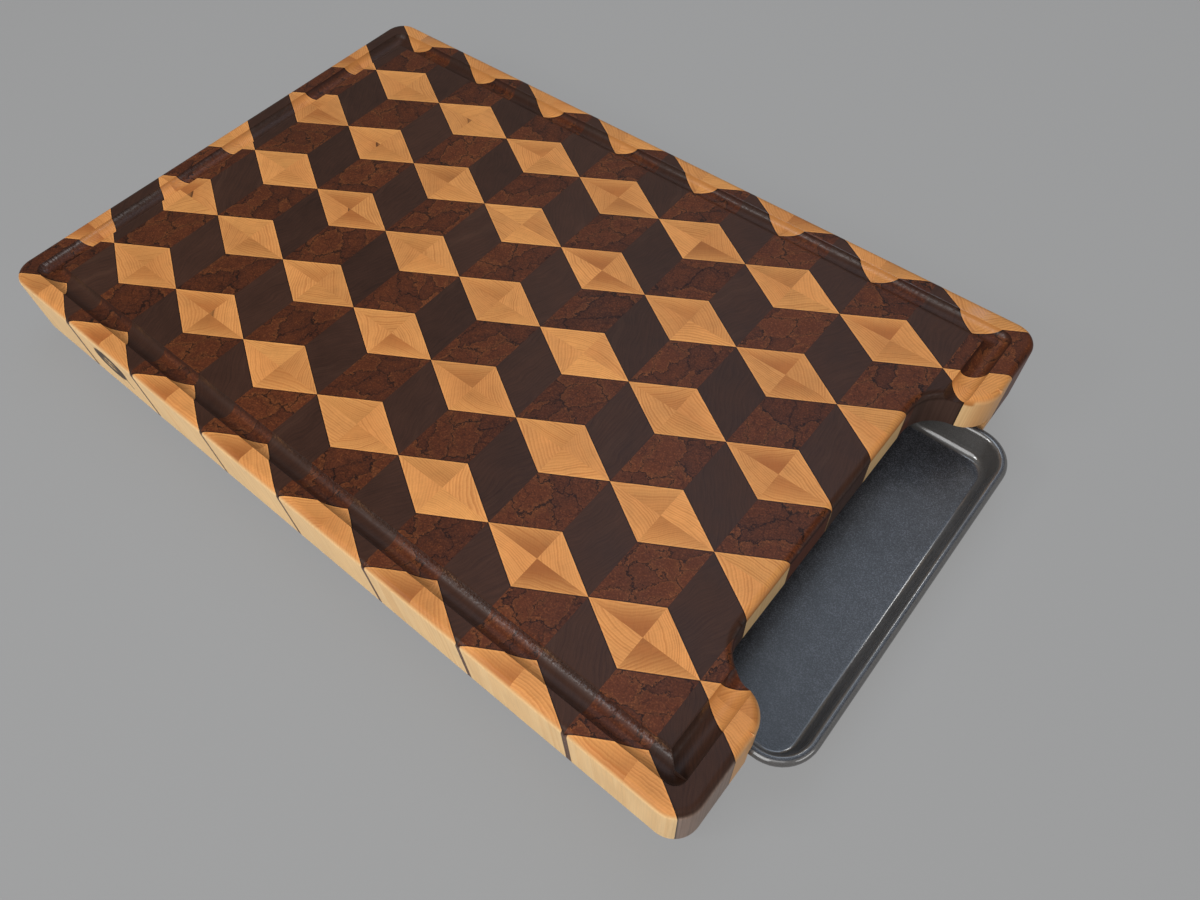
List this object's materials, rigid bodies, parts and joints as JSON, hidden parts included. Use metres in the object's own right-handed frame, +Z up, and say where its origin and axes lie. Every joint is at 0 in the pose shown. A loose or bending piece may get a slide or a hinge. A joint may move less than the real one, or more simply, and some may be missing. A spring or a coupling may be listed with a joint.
{
  "type": "cutting board with slide-out pan",
  "caption": "Oiled end-grain butcher block with a tumbling-cube pattern, a juice groove and a front notch over a dark nonstick pan that slides out on runners.",
  "frame": {"origin": "centre of the part's footprint at the level of the surface that the feet stand on, with the pan standing out of the board's front end as pictured", "axes": "+X along the board's length, out of the front end where the pan comes out; +Y to the left of someone who stands behind the board and looks towards the pan's end; +Z up"},
  "size_m": [0.5314, 0.33, 0.0545],
  "materials": {
    "walnut": "oiled end grain, very dark brown, satin",
    "sapele": "oiled end grain, dark red brown, satin",
    "maple": "oiled end grain, honey coloured, satin",
    "pale_maple": "oiled end grain, pale honey, satin",
    "steel": "zinc plated, bright",
    "rubber": "moulded, matt black",
    "pan_coat": "speckled charcoal nonstick coating, semi-gloss"
  },
  "bodies": {
    "board": {"row1_walnut_blocks": "walnut", "row1_sapele_blocks": "sapele", "row1_walnut_wedges": "pale_maple", "row1_sapele_wedges": "maple", "row2_walnut_blocks": "walnut", "row2_sapele_blocks": "sapele", "row2_walnut_wedges": "pale_maple", "row2_sapele_wedges": "maple", "row3_walnut_blocks": "walnut", "row3_sapele_blocks": "sapele", "row3_walnut_wedges": "pale_maple", "row3_sapele_wedges": "maple", "row4_walnut_blocks": "walnut", "row4_sapele_blocks": "sapele", "row4_walnut_wedges": "pale_maple", "row4_sapele_wedges": "maple", "row5_walnut_blocks": "walnut", "row5_sapele_blocks": "sapele", "row5_walnut_wedges": "pale_maple", "row5_sapele_wedges": "maple", "row6_walnut_blocks": "walnut", "row6_sapele_blocks": "sapele", "row6_walnut_wedges": "pale_maple", "row6_sapele_wedges": "maple", "runner_left": "maple", "runner_right": "maple", "runner_screws": "steel", "foot_front_left": "rubber", "foot_front_right": "rubber", "foot_rear_left": "rubber", "foot_rear_right": "rubber", "foot_washers": "steel", "foot_screws": "steel"},
    "pan": {"pan": "pan_coat", "rim_wire": "steel"}
  },
  "joints": [
    {"name": "pan_slide", "type": "slide", "parent": "board", "child": "pan", "axis": [1, 0, 0], "range_m": [-0.0234, 0.2]}
  ]
}
